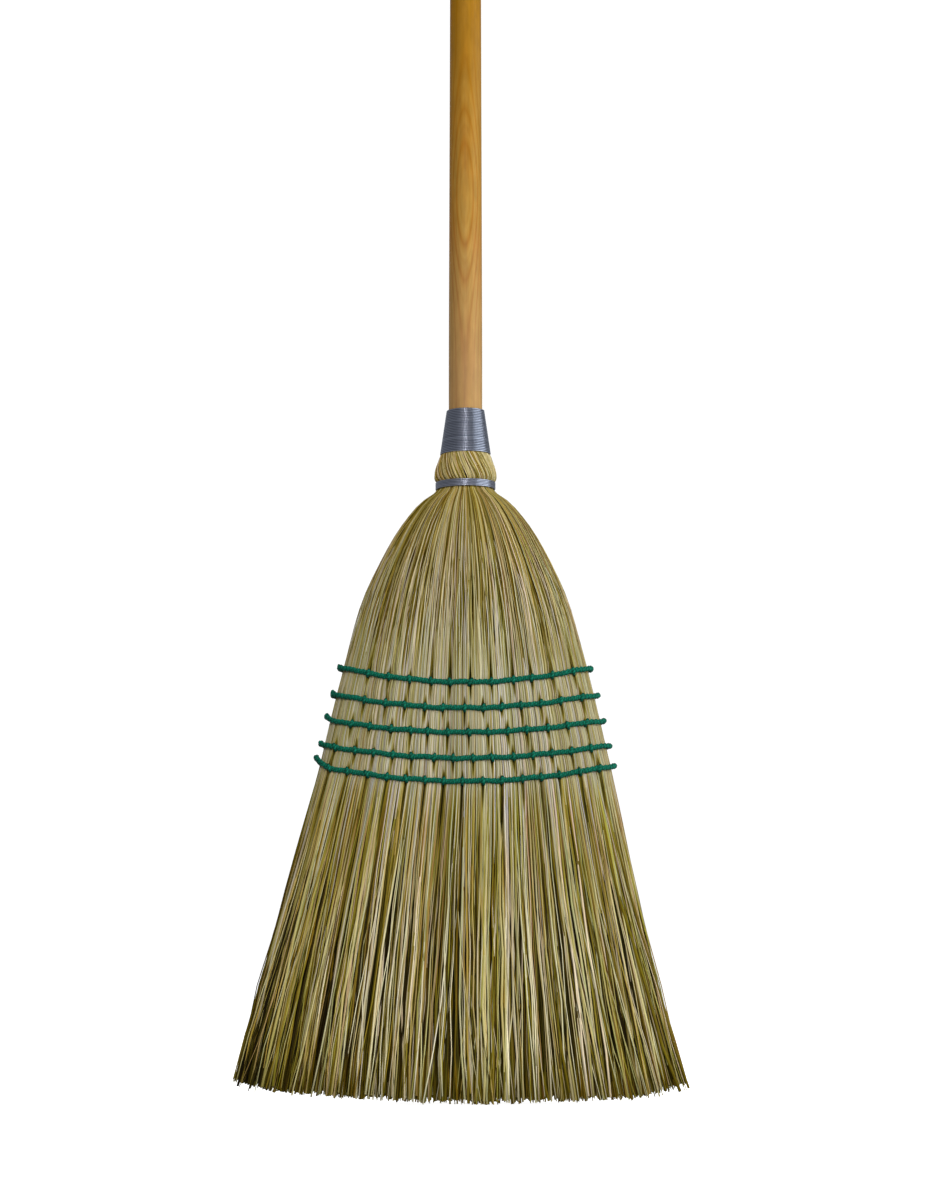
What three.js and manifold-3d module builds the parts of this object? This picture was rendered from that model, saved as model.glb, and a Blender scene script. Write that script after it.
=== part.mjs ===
// Broomcorn broom: a turned wooden handle, straw bundles bound on with wire, and a head
// sewn flat with five rows of twine.
// Millimetres. +Z runs up the handle, +X across the sweep, and -Y is the front face.
// The origin is under the handle, level with the straw tips.
import * as THREE from "three";
import { mergeVertices } from "three/addons/utils/BufferGeometryUtils.js";
import Module from "manifold-3d";

const wasm = await Module();
wasm.setup();

// ---------------------------------------------------------------- driving dimensions

const GAP = 0.3;
const OVERALL_LENGTH = 1420;
const HANDLE_LENGTH = 1067;
const HANDLE_BOTTOM = OVERALL_LENGTH - HANDLE_LENGTH;

// Neck, from the bottom of the lower wire band upwards.
const BAND_BOTTOM = 454.1;
const BAND_TOP = 460.9;
const CONE_BOTTOM = 480.8;
const CONE_TOP = 515.8;
const WIRE = 1.36;
const BAND_RADIUS = 22.6;
const BULGE_RADIUS = 23.3;
const CONE_BOTTOM_RADIUS = 19.3;
const CONE_TOP_RADIUS = 14.3;
const NECK_SIDES = 16;

// The handle's profile as [radius, height]: a taper inside the head, a slightly swelled
// grip above the neck, and a domed top end.
const HANDLE_PROFILE = [
  [6.2, HANDLE_BOTTOM], [7.4, HANDLE_BOTTOM + 2.5], [11.4, BAND_BOTTOM], [12.4, CONE_BOTTOM + 10],
  [12.6, CONE_TOP], [12.6, CONE_TOP + 60], [11.9, CONE_TOP + 317], [11.2, OVERALL_LENGTH - 260],
  [11, OVERALL_LENGTH - 9], [10.3, OVERALL_LENGTH - 4.6], [8.6, OVERALL_LENGTH - 1.6],
  [6, OVERALL_LENGTH],
];
const BOUND_POINTS = [1, 6];

// The nail that holds the wire's end, just above the winding on the back.
const NAIL = { z: CONE_TOP + 3.2, shankRadius: 0.8, headRadius: 2.1, headHeight: 0.8, length: 11 };
const NAIL_SIDES = 8;

// Stalk ends: an inner sleeve tied to the handle, then the outer collar that swells
// between the lower band and the winding, and tapers away under the winding.
const SLEEVE_TOP = 503;
const SLEEVE_WALL = 1.5;
const TIE_BOTTOM = 464;
const TIE_TURNS = 5;
const TIE_TOP = TIE_BOTTOM + TIE_TURNS * WIRE;
const TIE_CLEARANCE = 0.5;
const COLLAR_TIP = SLEEVE_TOP - 1;
const COLLAR_LIP = 0.1;
const BULGE = [
  [BAND_RADIUS + 0.4, BAND_TOP + 1.2], [BULGE_RADIUS, BAND_TOP + 4.2],
  [BULGE_RADIUS - 0.8, BAND_TOP + 9.5], [BULGE_RADIUS - 2.6, BAND_TOP + 14.5],
  [CONE_BOTTOM_RADIUS - COLLAR_LIP, CONE_BOTTOM - GAP],
];
const TIE_SLOPE = 2;

// Straw head.
const HEAD_TOP = BAND_BOTTOM - GAP;
const HALF_WIDTH = [[0, 166], [75, 149.5], [163, 128], [235, 111], [320, 91], [372, 76.8],
  [417, 54.8], [441, 37.5], [HEAD_TOP, BAND_RADIUS]];
const HALF_THICKNESS = [[0, 27], [100, 24.5], [235, 21], [320, 23], [385, 32], [425, 32.5],
  [HEAD_TOP, BAND_RADIUS]];
const NECK_SQUARENESS = 2;
const HEAD_SQUARENESS = 2.6;
const SQUARENESS_FADE = 110;
const NECK_COVER = 5.5;
const SKIRT_COVER = 10;
const THINNEST = 1.5;
const LAYER_GAP = 1.2;
const CORNER_RISE = 16;
const FLAT_TIP_SHARE = 0.42;
const HEAD_STEPS = 9;
const STEP_CROWDING = 1.55;
const BUNDLES_PER_FACE = 8;
const SAMPLES_PER_BUNDLE = 2;
const BUNDLE_GAP = 0.35;
const CORE_SHARE = 0.25;

// Twine rows, from the top. Each stitch ties the front of the band to the back of it.
const TWINE = 3.8;
const TWINE_CLEARANCE = 0.8;
const TWINE_STEPS = 32;
const TWINE_SIDES = 5;
const STITCH_WIDTH = 2;
const STITCH_HEIGHT = 2.4;
const STITCH_CLEARANCE = 0.35;
const ROWS = [
  { middle: 308, end: 320, stitches: 11, pitch: 15.1, shift: 4.4 },
  { middle: 289, end: 300, stitches: 12, pitch: 14.5, shift: 5.9 },
  { middle: 271, end: 281, stitches: 13, pitch: 14.5, shift: 2.4 },
  { middle: 252, end: 262.5, stitches: 14, pitch: 14.6, shift: -1.8 },
  { middle: 235, end: 247.5, stitches: 15, pitch: 14.3, shift: -1.5 },
];

// ---------------------------------------------------------------- materials

const COLOURS = {
  wood: new THREE.MeshStandardMaterial({ color: 0xb98a4c, roughness: 0.38, metalness: 0 }),
  wire: new THREE.MeshStandardMaterial({ color: 0x9ba0aa, roughness: 0.35, metalness: 0.9 }),
  straw: new THREE.MeshStandardMaterial({ color: 0xa69a66, roughness: 0.75, metalness: 0 }),
  innerStraw: new THREE.MeshStandardMaterial({ color: 0x85774a, roughness: 0.8, metalness: 0 }),
  twine: new THREE.MeshStandardMaterial({ color: 0x1f6350, roughness: 0.7, metalness: 0 }),
};

const broom = new THREE.Group();

function add(name, geometry, material) {
  const mesh = new THREE.Mesh(geometry, material.clone());
  mesh.name = name;
  broom.add(mesh);
}

// ---------------------------------------------------------------- solids

function toSolid(geometry) {
  const bare = geometry.clone();
  bare.deleteAttribute("normal");
  bare.deleteAttribute("uv");
  const merged = mergeVertices(bare, 1e-3);
  return new wasm.Manifold(new wasm.Mesh({
    numProp: 3,
    vertProperties: new Float32Array(merged.attributes.position.array),
    triVerts: new Uint32Array(merged.index.array),
  }));
}

function toGeometry(solid) {
  const mesh = solid.getMesh();
  const geometry = new THREE.BufferGeometry();
  geometry.setAttribute("position", new THREE.BufferAttribute(mesh.vertProperties, 3));
  geometry.setIndex(new THREE.BufferAttribute(mesh.triVerts, 1));
  geometry.computeVertexNormals();
  return geometry;
}

function subtract(geometry, tool) {
  return toGeometry(toSolid(geometry).subtract(tool));
}

function union(geometries) {
  return geometries.map(toSolid).reduce((whole, piece) => whole.add(piece));
}

// A solid of revolution about the handle's axis. Its profile is a list of [radius, height].
function turned(profile, sides = NECK_SIDES) {
  const points = profile.map(([radius, height]) => new THREE.Vector2(radius, height));
  return new THREE.LatheGeometry(points, sides).rotateX(Math.PI / 2);
}

// ---------------------------------------------------------------- curves

// A smooth value through [position, value] knots, in rising order of position.
function smoothThrough(knots) {
  const slope = (i) => {
    const low = knots[Math.max(i - 1, 0)];
    const high = knots[Math.min(i + 1, knots.length - 1)];
    return (high[1] - low[1]) / (high[0] - low[0]);
  };
  return (position) => {
    const clamped = THREE.MathUtils.clamp(position, knots[0][0], knots[knots.length - 1][0]);
    let i = 0;
    while (i < knots.length - 2 && clamped > knots[i + 1][0]) i += 1;
    const [start, from] = knots[i];
    const [end, to] = knots[i + 1];
    const span = end - start;
    const s = (clamped - start) / span;
    const rise = s * s * (3 - 2 * s);
    return from + (to - from) * rise + span * (
      slope(i) * s * (1 - s) * (1 - s) - slope(i + 1) * s * s * (1 - s));
  };
}

const headHalfWidth = smoothThrough(HALF_WIDTH);
const headHalfThickness = smoothThrough(HALF_THICKNESS);

function squareness(z) {
  const fade = THREE.MathUtils.smoothstep(HEAD_TOP - z, 0, SQUARENESS_FADE);
  return NECK_SQUARENESS + (HEAD_SQUARENESS - NECK_SQUARENESS) * fade;
}

function coverThickness(z) {
  return NECK_COVER + (SKIRT_COVER - NECK_COVER) * (1 - z / HEAD_TOP);
}

// Share of the half width at across = -1 to 1, with the samples closer near the edges.
function widthShare(across) {
  return 0.5 * Math.sin(across * Math.PI / 2) + 0.5 * across;
}

// Half the thickness at a share of the half width, as a share of the middle's.
function depthShare(share, z) {
  const power = squareness(z);
  return Math.max(1 - Math.abs(share) ** power, 0) ** (1 / power);
}

// The trimmed tips: flat under the middle, rising to the corners.
function tipHeight(x) {
  const share = Math.abs(x) / headHalfWidth(0);
  const beyond = Math.max(share - FLAT_TIP_SHARE, 0) / (1 - FLAT_TIP_SHARE);
  return CORNER_RISE * beyond ** 2;
}

// ---------------------------------------------------------------- handle

function handle() {
  return turned([[0, HANDLE_BOTTOM], ...HANDLE_PROFILE, [0, OVERALL_LENGTH]]);
}

// The handle's radius over the stretch where the straw and the wire are bound on.
const boundRadius = smoothThrough(
  HANDLE_PROFILE.slice(...BOUND_POINTS).map(([radius, z]) => [z, radius]));

// The handle's lower stretch, larger by the gap, which the straw is cut clear of.
function handleClearance() {
  const widened = HANDLE_PROFILE.slice(0, BOUND_POINTS[1]).map(([radius, z]) => [radius + GAP, z]);
  const [lowest, highest] = [HANDLE_BOTTOM - GAP, widened[widened.length - 1][1]];
  return toSolid(turned([[0, lowest], [widened[0][0], lowest], ...widened, [0, highest]]));
}

// The nail's solid, or with a clearance the hole that it sits in.
function nail(clearance) {
  const shank = NAIL.shankRadius + clearance;
  const head = NAIL.headRadius + clearance;
  const lift = clearance > 0 ? -clearance : GAP;
  const profile = [
    [0, -NAIL.length - clearance], [shank, -NAIL.length + NAIL.shankRadius], [shank, lift],
    [head, lift], [head, lift + NAIL.headHeight + clearance], [0, lift + NAIL.headHeight + clearance],
  ];
  const points = profile.map(([radius, height]) => new THREE.Vector2(radius, height));
  return new THREE.LatheGeometry(points, NAIL_SIDES).translate(0, boundRadius(NAIL.z), NAIL.z);
}

add("handle", subtract(handle(), toSolid(nail(GAP))), COLOURS.wood);
add("wire_end_nail", nail(0), COLOURS.wire);

// ---------------------------------------------------------------- neck

// A close winding of wire between two heights: rounded turns outside, one wall thick.
function winding(bottom, top, bottomRadius, topRadius) {
  const turns = Math.round((top - bottom) / WIRE);
  const radiusAt = (share) => bottomRadius + (topRadius - bottomRadius) * share;
  const outside = [[radiusAt(0) - WIRE / 2, bottom]];
  for (let turn = 0; turn < turns; turn += 1) {
    const crest = (turn + 0.5) / turns;
    const valley = (turn + 1) / turns;
    outside.push([radiusAt(crest), bottom + (top - bottom) * crest]);
    outside.push([radiusAt(valley) - WIRE / 2, bottom + (top - bottom) * valley]);
  }
  const inside = [[radiusAt(1) - WIRE, top], [radiusAt(0) - WIRE, bottom]];
  return turned([...outside, ...inside, outside[0]]);
}

add("neck_wire_winding",
  winding(CONE_BOTTOM, CONE_TOP, CONE_BOTTOM_RADIUS, CONE_TOP_RADIUS), COLOURS.wire);
add("neck_band_wire", winding(BAND_BOTTOM, BAND_TOP, BAND_RADIUS, BAND_RADIUS), COLOURS.wire);

function closed(profile) {
  return [...profile, profile[0]];
}

function sleeveProfile() {
  const inside = [BAND_BOTTOM, CONE_BOTTOM, SLEEVE_TOP];
  return [
    ...inside.map((z) => [boundRadius(z) + GAP, z]),
    ...inside.reverse().map((z) => [boundRadius(z) + GAP + SLEEVE_WALL, z]),
  ];
}

add("inner_stalk_sleeve", turned(closed(sleeveProfile().reverse())), COLOURS.innerStraw);

const tieRadius = boundRadius(TIE_TOP) + GAP + SLEEVE_WALL + WIRE + TIE_CLEARANCE;
add("inner_tie_wire", winding(TIE_BOTTOM, TIE_TOP, tieRadius, tieRadius), COLOURS.wire);

function collar() {
  const underBand = BAND_RADIUS - WIRE - GAP;
  const underCone = (z) => THREE.MathUtils.mapLinear(
    z, CONE_BOTTOM, CONE_TOP, CONE_BOTTOM_RADIUS, CONE_TOP_RADIUS) - WIRE - GAP;
  const sleeveOutside = (z) => boundRadius(z) + SLEEVE_WALL + 2 * GAP;
  const aroundTie = tieRadius + GAP;
  return turned(closed([
    [sleeveOutside(BAND_BOTTOM), BAND_BOTTOM],
    [underBand, BAND_BOTTOM],
    [underBand, BAND_TOP + GAP],
    ...BULGE,
    [underCone(CONE_BOTTOM), CONE_BOTTOM - GAP],
    [underCone(COLLAR_TIP), COLLAR_TIP],
    [sleeveOutside(COLLAR_TIP) - COLLAR_LIP, COLLAR_TIP],
    [sleeveOutside(TIE_TOP), TIE_TOP + TIE_SLOPE],
    [aroundTie, TIE_TOP + GAP],
    [aroundTie, TIE_BOTTOM - GAP],
    [sleeveOutside(TIE_BOTTOM), TIE_BOTTOM - TIE_SLOPE],
  ]));
}

add("stalk_collar", collar(), COLOURS.straw);

// ---------------------------------------------------------------- twine rows

function rowHeight(row, x) {
  const share = Math.abs(x) / headHalfWidth(row.middle);
  return row.middle + (row.end - row.middle) * share ** 2;
}

function stitchPlaces(row) {
  const first = row.shift - row.pitch * (row.stitches - 1) / 2;
  return Array.from({ length: row.stitches }, (_, i) => first + row.pitch * i);
}

// Where the twine's centre line lies outside the straw, on the back for side = 1.
function twinePoint(row, share, side) {
  const x = share * (headHalfWidth(row.middle) + TWINE);
  const z = rowHeight(row, x);
  const stand = TWINE / 2 + TWINE_CLEARANCE;
  return new THREE.Vector3(
    share * (headHalfWidth(z) + stand),
    side * (headHalfThickness(z) + stand) * depthShare(share, z),
    z);
}

// Once round the head: along the front from left to right, and along the back again.
class TwinePath extends THREE.Curve {
  constructor(row) {
    super();
    this.row = row;
  }

  getPoint(share) {
    const turn = 2 * Math.PI * share;
    return twinePoint(this.row, -Math.cos(turn), turn < Math.PI ? -1 : 1);
  }

  getPointAt(share) {
    return this.getPoint(share);
  }

  getTangentAt(share) {
    return this.getTangent(share);
  }
}

function twineBand(row) {
  return new THREE.TubeGeometry(new TwinePath(row), TWINE_STEPS, TWINE / 2, TWINE_SIDES, true);
}

function stitchBlock(row, x, spare) {
  const z = rowHeight(row, x);
  const share = x / (headHalfWidth(z) + TWINE / 2 + TWINE_CLEARANCE);
  const reach = Math.abs(twinePoint(row, share, 1).y) + spare;
  return new THREE.BoxGeometry(
    STITCH_WIDTH + 2 * spare, 2 * reach, STITCH_HEIGHT + 2 * spare).translate(x, 0, z);
}

function stitchBlocks(row, spare) {
  return stitchPlaces(row).map((x) => stitchBlock(row, x, spare));
}

ROWS.forEach((row, i) => {
  const sewn = union([twineBand(row), ...stitchBlocks(row, 0)]);
  add(`stitch_row_${i + 1}`, toGeometry(sewn), COLOURS.twine);
});

const needleHoles = union(ROWS.flatMap((row) => stitchBlocks(row, STITCH_CLEARANCE)));

// ---------------------------------------------------------------- straw head

// A straight block in (across, layer, up) space, which a place function bends into a
// bundle. The across samples fall on the same places in every bundle.
function bentBlock(fromAcross, toAcross, place) {
  const samples = Math.round((toAcross - fromAcross) * BUNDLES_PER_FACE * SAMPLES_PER_BUNDLE / 2);
  const across = (i) => fromAcross + (toAcross - fromAcross) * i / samples;
  const outline = new THREE.Shape();
  outline.moveTo(fromAcross, 0);
  for (let i = 1; i <= samples; i += 1) outline.lineTo(across(i), 0);
  for (let i = samples; i >= 0; i -= 1) outline.lineTo(across(i), 1);
  const options = { depth: 1, steps: HEAD_STEPS, bevelEnabled: false };
  const block = new THREE.ExtrudeGeometry(outline, options);
  const position = block.attributes.position;
  const point = new THREE.Vector3();
  for (let i = 0; i < position.count; i += 1) {
    point.fromBufferAttribute(position, i);
    place(point);
    position.setXYZ(i, point.x, point.y, point.z);
  }
  return block;
}

// Height of a straw at a share of its length, with the samples closer at the shoulder.
function strawHeight(up, share) {
  const tip = tipHeight(share * headHalfWidth(0));
  return HEAD_TOP - (HEAD_TOP - tip) * (1 - up) ** STEP_CROWDING;
}

// How far a bundle's seam edges draw back, towards its own middle, to leave a gap.
function seamInset(across, from, to, amount) {
  const onEdge = Math.min(Math.abs(across - from), Math.abs(across - to)) < 1e-6;
  const onHeadSide = Math.abs(across) > 1 - 1e-6;
  return onEdge && !onHeadSide ? amount * Math.sign((from + to) / 2 - across) : 0;
}

// The core and the two shoulder bundles fill the head inside the cover layer.
function innerBundle(from, to) {
  const block = bentBlock(from, to, (point) => {
    const share = widthShare(point.x);
    const z = strawHeight(point.z, share);
    const cover = coverThickness(z) + LAYER_GAP;
    const depth = (headHalfThickness(z) - cover) * depthShare(share, z);
    const x = share * (headHalfWidth(z) - cover) + seamInset(point.x, from, to, BUNDLE_GAP / 2);
    point.set(x, (2 * point.y - 1) * Math.max(depth, THINNEST), z);
  });
  return toGeometry(toSolid(block).subtract(handleClearance()).subtract(needleHoles));
}

add("core_bundle", innerBundle(-CORE_SHARE, CORE_SHARE), COLOURS.innerStraw);
add("left_shoulder_bundle", innerBundle(-1, -CORE_SHARE), COLOURS.innerStraw);
add("right_shoulder_bundle", innerBundle(CORE_SHARE, 1), COLOURS.innerStraw);

// One bundle of cover straw, on the back for side = 1.
function coverBundle(index, side) {
  const from = -1 + 2 * index / BUNDLES_PER_FACE;
  const to = from + 2 / BUNDLES_PER_FACE;
  const block = bentBlock(from, to, (point) => {
    const outer = side > 0 ? point.y > 0.5 : point.y < 0.5;
    const share = widthShare(point.x);
    const z = strawHeight(point.z, share);
    const cover = outer ? 0 : coverThickness(z);
    const depth = (headHalfThickness(z) - cover) * depthShare(share, z);
    const x = share * (headHalfWidth(z) - cover) + seamInset(point.x, from, to, BUNDLE_GAP);
    point.set(x, side * Math.max(depth, outer ? GAP / 2 : THINNEST + LAYER_GAP), z);
  });
  return subtract(block, needleHoles);
}

for (const [face, side] of [["front", -1], ["back", 1]])
  for (let i = 0; i < BUNDLES_PER_FACE; i += 1)
    add(`${face}_hurl_0${i + 1}`, coverBundle(i, side), COLOURS.straw);

export default broom;
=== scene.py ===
# Looks for a corn broom: a lacquered handle, wound wire, loose straws and twisted twine,
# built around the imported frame. Shapes are worked out in millimetres and made in metres.
import math

import bpy
import numpy as np
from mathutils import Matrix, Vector

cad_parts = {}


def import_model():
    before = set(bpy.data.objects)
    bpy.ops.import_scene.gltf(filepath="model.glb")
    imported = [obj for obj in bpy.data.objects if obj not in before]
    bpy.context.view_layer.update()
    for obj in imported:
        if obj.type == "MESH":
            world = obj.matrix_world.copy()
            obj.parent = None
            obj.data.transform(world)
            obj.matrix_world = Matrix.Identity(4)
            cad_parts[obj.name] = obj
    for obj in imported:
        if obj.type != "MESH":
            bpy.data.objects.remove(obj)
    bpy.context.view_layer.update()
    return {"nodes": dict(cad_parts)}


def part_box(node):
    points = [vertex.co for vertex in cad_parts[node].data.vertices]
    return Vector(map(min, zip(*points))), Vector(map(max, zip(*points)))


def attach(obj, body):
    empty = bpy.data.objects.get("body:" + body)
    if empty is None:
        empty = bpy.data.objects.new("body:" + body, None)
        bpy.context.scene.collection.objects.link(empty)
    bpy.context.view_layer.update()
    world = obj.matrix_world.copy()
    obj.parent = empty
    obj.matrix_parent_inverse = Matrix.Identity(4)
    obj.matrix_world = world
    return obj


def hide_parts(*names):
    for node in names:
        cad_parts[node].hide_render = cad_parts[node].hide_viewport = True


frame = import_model()

MM = 0.001
BODY = "root"

# Where each group of random draws starts.
STRAW_SEED = 7
STITCH_SEED = 40
SLIT_SEED = 60
LOOP_SEED = 80


def node_span(node):
    """A CAD node's lowest and highest corners, in millimetres."""
    low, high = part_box(node)
    return np.array(low) / MM, np.array(high) / MM


# ---- dimensions

handle_low, handle_high = node_span("handle")
cone_low, cone_high = node_span("neck_wire_winding")
band_low, band_high = node_span("neck_band_wire")

WIRE = 1.36
BAND_RADIUS = band_high[0]
CONE_BOTTOM_RADIUS = cone_high[0]
CONE_TOP_RADIUS = 14.3
BULGE_RADIUS = 23.3

HEAD_TOP = band_low[2] - 0.3
# Half the head's width and half its thickness at heights above the floor.
HALF_WIDTH = [[0, 166], [75, 149.5], [163, 128], [235, 111], [320, 91], [372, 76],
              [417, 54.8], [441, 37.5], [HEAD_TOP, BAND_RADIUS]]
HALF_THICKNESS = [[0, 27], [100, 24.5], [235, 21], [320, 23], [385, 32], [425, 32.5],
                  [HEAD_TOP, BAND_RADIUS]]
# The head is an ellipse across at the neck, and squarer from this far below it.
NECK_SQUARENESS = 2
HEAD_SQUARENESS = 2.6
SQUARENESS_FADE = 110
# Height of the trimmed tips at shares of the half width.
TIP_LINE = [[-1, 16], [-0.88, 11], [-0.65, 6.4], [-0.22, 2.4], [0.1, 0], [0.3, 1.2],
            [0.52, 2.4], [0.76, 4.4], [0.88, 8], [1, 14]]
BUNDLES_PER_FACE = 8
CORE_SHARE = 0.25

# Twine rows from the top: height at the middle and at the sides, and their stitches.
ROWS = [
    {"middle": 308, "end": 320, "stitches": 11, "pitch": 15.1, "shift": 4.4},
    {"middle": 289, "end": 300, "stitches": 12, "pitch": 14.5, "shift": 5.9},
    {"middle": 271, "end": 281, "stitches": 13, "pitch": 14.5, "shift": 2.4},
    {"middle": 252, "end": 262.5, "stitches": 14, "pitch": 14.6, "shift": -1.8},
    {"middle": 235, "end": 247.5, "stitches": 15, "pitch": 14.3, "shift": -1.5},
]
STITCH_JITTER = 0.7

# ---- curves


def smooth_through(knots):
    """A smooth function through [position, value] knots, in rising order of position."""
    knot, value = np.array(knots, float).T
    before = np.maximum(np.arange(len(knot)) - 1, 0)
    after = np.minimum(np.arange(len(knot)) + 1, len(knot) - 1)
    slope = (value[after] - value[before]) / (knot[after] - knot[before])

    def through(position):
        at = np.clip(position, knot[0], knot[-1])
        i = np.clip(np.searchsorted(knot, at, side="left") - 1, 0, len(knot) - 2)
        span = knot[i + 1] - knot[i]
        s = (at - knot[i]) / span
        rise = s * s * (3 - 2 * s)
        bend = slope[i] * s * (1 - s) ** 2 - slope[i + 1] * s * s * (1 - s)
        return value[i] + (value[i + 1] - value[i]) * rise + span * bend

    return through


def smoothstep(low, high, value):
    """0 where the value is at low or beyond, 1 at high or beyond, and smooth between."""
    s = np.clip((value - low) / (high - low), 0, 1)
    return s * s * (3 - 2 * s)


half_width = smooth_through(HALF_WIDTH)
half_thickness = smooth_through(HALF_THICKNESS)
tip_height = smooth_through(TIP_LINE)


def width_share(across):
    """Share of the half width at across = -1 to 1, closer together near the sides."""
    return 0.5 * np.sin(across * math.pi / 2) + 0.5 * across


def depth_share(share, z):
    """Half the thickness at a share of the half width, as a share of the middle's."""
    fade = smoothstep(0, SQUARENESS_FADE, HEAD_TOP - z)
    power = NECK_SQUARENESS + (HEAD_SQUARENESS - NECK_SQUARENESS) * fade
    return np.maximum(1 - np.abs(share) ** power, 0) ** (1 / power)


def row_height(row, share):
    """A twine row's height at a share of the half width."""
    return row["middle"] + (row["end"] - row["middle"]) * share ** 2


def stitch_places(index):
    """Where a row's stitches pass through the head, in order of x."""
    row, count = ROWS[index], ROWS[index]["stitches"]
    even = row["shift"] + row["pitch"] * (np.arange(count) - (count - 1) / 2)
    return even + np.random.default_rng(STITCH_SEED + index).normal(0, STITCH_JITTER, count)


STITCHES = [stitch_places(i) for i in range(len(ROWS))]

# ---- mesh building


def link(name, data):
    """A new object in the scene for a mesh, a light or a camera."""
    thing = bpy.data.objects.new(name, data)
    bpy.context.scene.collection.objects.link(thing)
    return thing


def make_object(name, points, material):
    """Closed tubes from points in mm, shaped (tubes, rings along, points round, 3).
    The walls are shaded smooth, and an end only where it has four sides too."""
    tubes, rings, sides, _ = points.shape
    index = np.arange(tubes * rings * sides).reshape(tubes, rings, sides)
    turned = np.roll(index, -1, axis=2)
    walls = np.stack([index[:, :-1], turned[:, :-1], turned[:, 1:], index[:, 1:]], axis=-1)
    corners = np.concatenate([walls.ravel(), index[:, 0, ::-1].ravel(), index[:, -1].ravel()])
    sizes = np.repeat([4, sides], [walls.size // 4, 2 * tubes])
    mesh = bpy.data.meshes.new(name)
    mesh.vertices.add(index.size)
    mesh.vertices.foreach_set("co", (points * MM).astype(np.float32).ravel())
    mesh.loops.add(len(corners))
    mesh.loops.foreach_set("vertex_index", corners.astype(np.int32))
    mesh.polygons.add(len(sizes))
    starts = np.concatenate([[0], np.cumsum(sizes)[:-1]]).astype(np.int32)
    mesh.polygons.foreach_set("loop_start", starts)
    mesh.polygons.foreach_set("use_smooth", sizes == 4)
    mesh.update(calc_edges=True)
    mesh.materials.append(material)
    return link(name, mesh)


def store(thing, key, values):
    """Keeps one number per point of the mesh for the shaders to read."""
    layer = thing.data.attributes.new(key, "FLOAT", "POINT")
    layer.data.foreach_set("value", values.astype(np.float32).ravel())


def tube_mesh(name, centres, radii, sides, reference, material, **attributes):
    """Tubes round centre lines. centres is (tubes, stations, 3), radii (tubes, stations), and
    each attribute one value per tube, or one per station. The tubes also get the distance
    along them in mm and the sine of the angle round them."""
    tubes, stations, _ = centres.shape
    tangent = np.gradient(centres, axis=1)
    tangent /= np.linalg.norm(tangent, axis=2, keepdims=True)
    across = np.cross(tangent, reference)
    across /= np.linalg.norm(across, axis=2, keepdims=True)
    out = np.cross(tangent, across)
    angle = 2 * math.pi * np.arange(sides) / sides
    ring = across[:, :, None] * np.cos(angle)[:, None] + out[:, :, None] * np.sin(angle)[:, None]
    points = centres[:, :, None] + ring * radii[:, :, None, None]
    points[..., 2] = np.maximum(points[..., 2], 0)
    thing = make_object(name, points, material)
    for key, value in attributes.items():
        value = np.asarray(value, float)
        value = value[:, None] if value.ndim == 1 else value
        store(thing, key, np.broadcast_to(value[:, :, None], (tubes, stations, sides)))
    length = np.linalg.norm(np.diff(centres, axis=1), axis=2).cumsum(axis=1)
    length = np.concatenate([np.zeros((tubes, 1)), length], axis=1)
    store(thing, "along", np.repeat(length.ravel(), sides))
    store(thing, "around", np.tile(np.sin(angle), tubes * stations))
    return thing


def turned_mesh(name, profile, sides, material):
    """A solid of revolution about the handle's axis, from [radius, height] points in mm."""
    radius, height = np.array(profile, float).T
    angle = 2 * math.pi * np.arange(sides) / sides
    ring = np.stack([np.cos(angle), np.sin(angle)], axis=1)
    flat = radius[:, None, None] * ring[None]
    tall = np.broadcast_to(height[:, None, None], (len(radius), sides, 1))
    return make_object(name, np.concatenate([flat, tall], axis=2)[None], material)


def place(thing, slot, *nodes):
    """Rides the piece on the broom's body, in place of the CAD nodes it stands for."""
    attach(thing, BODY)
    if nodes:
        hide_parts(*nodes)


# ---- materials


def linear(red, green, blue):
    """A colour given as 0 to 255 on screen, as the light values that shaders take."""
    values = []
    for part in (red, green, blue):
        part /= 255
        values.append(part / 12.92 if part <= 0.04045 else ((part + 0.055) / 1.055) ** 2.4)
    return (*values, 1)


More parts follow.
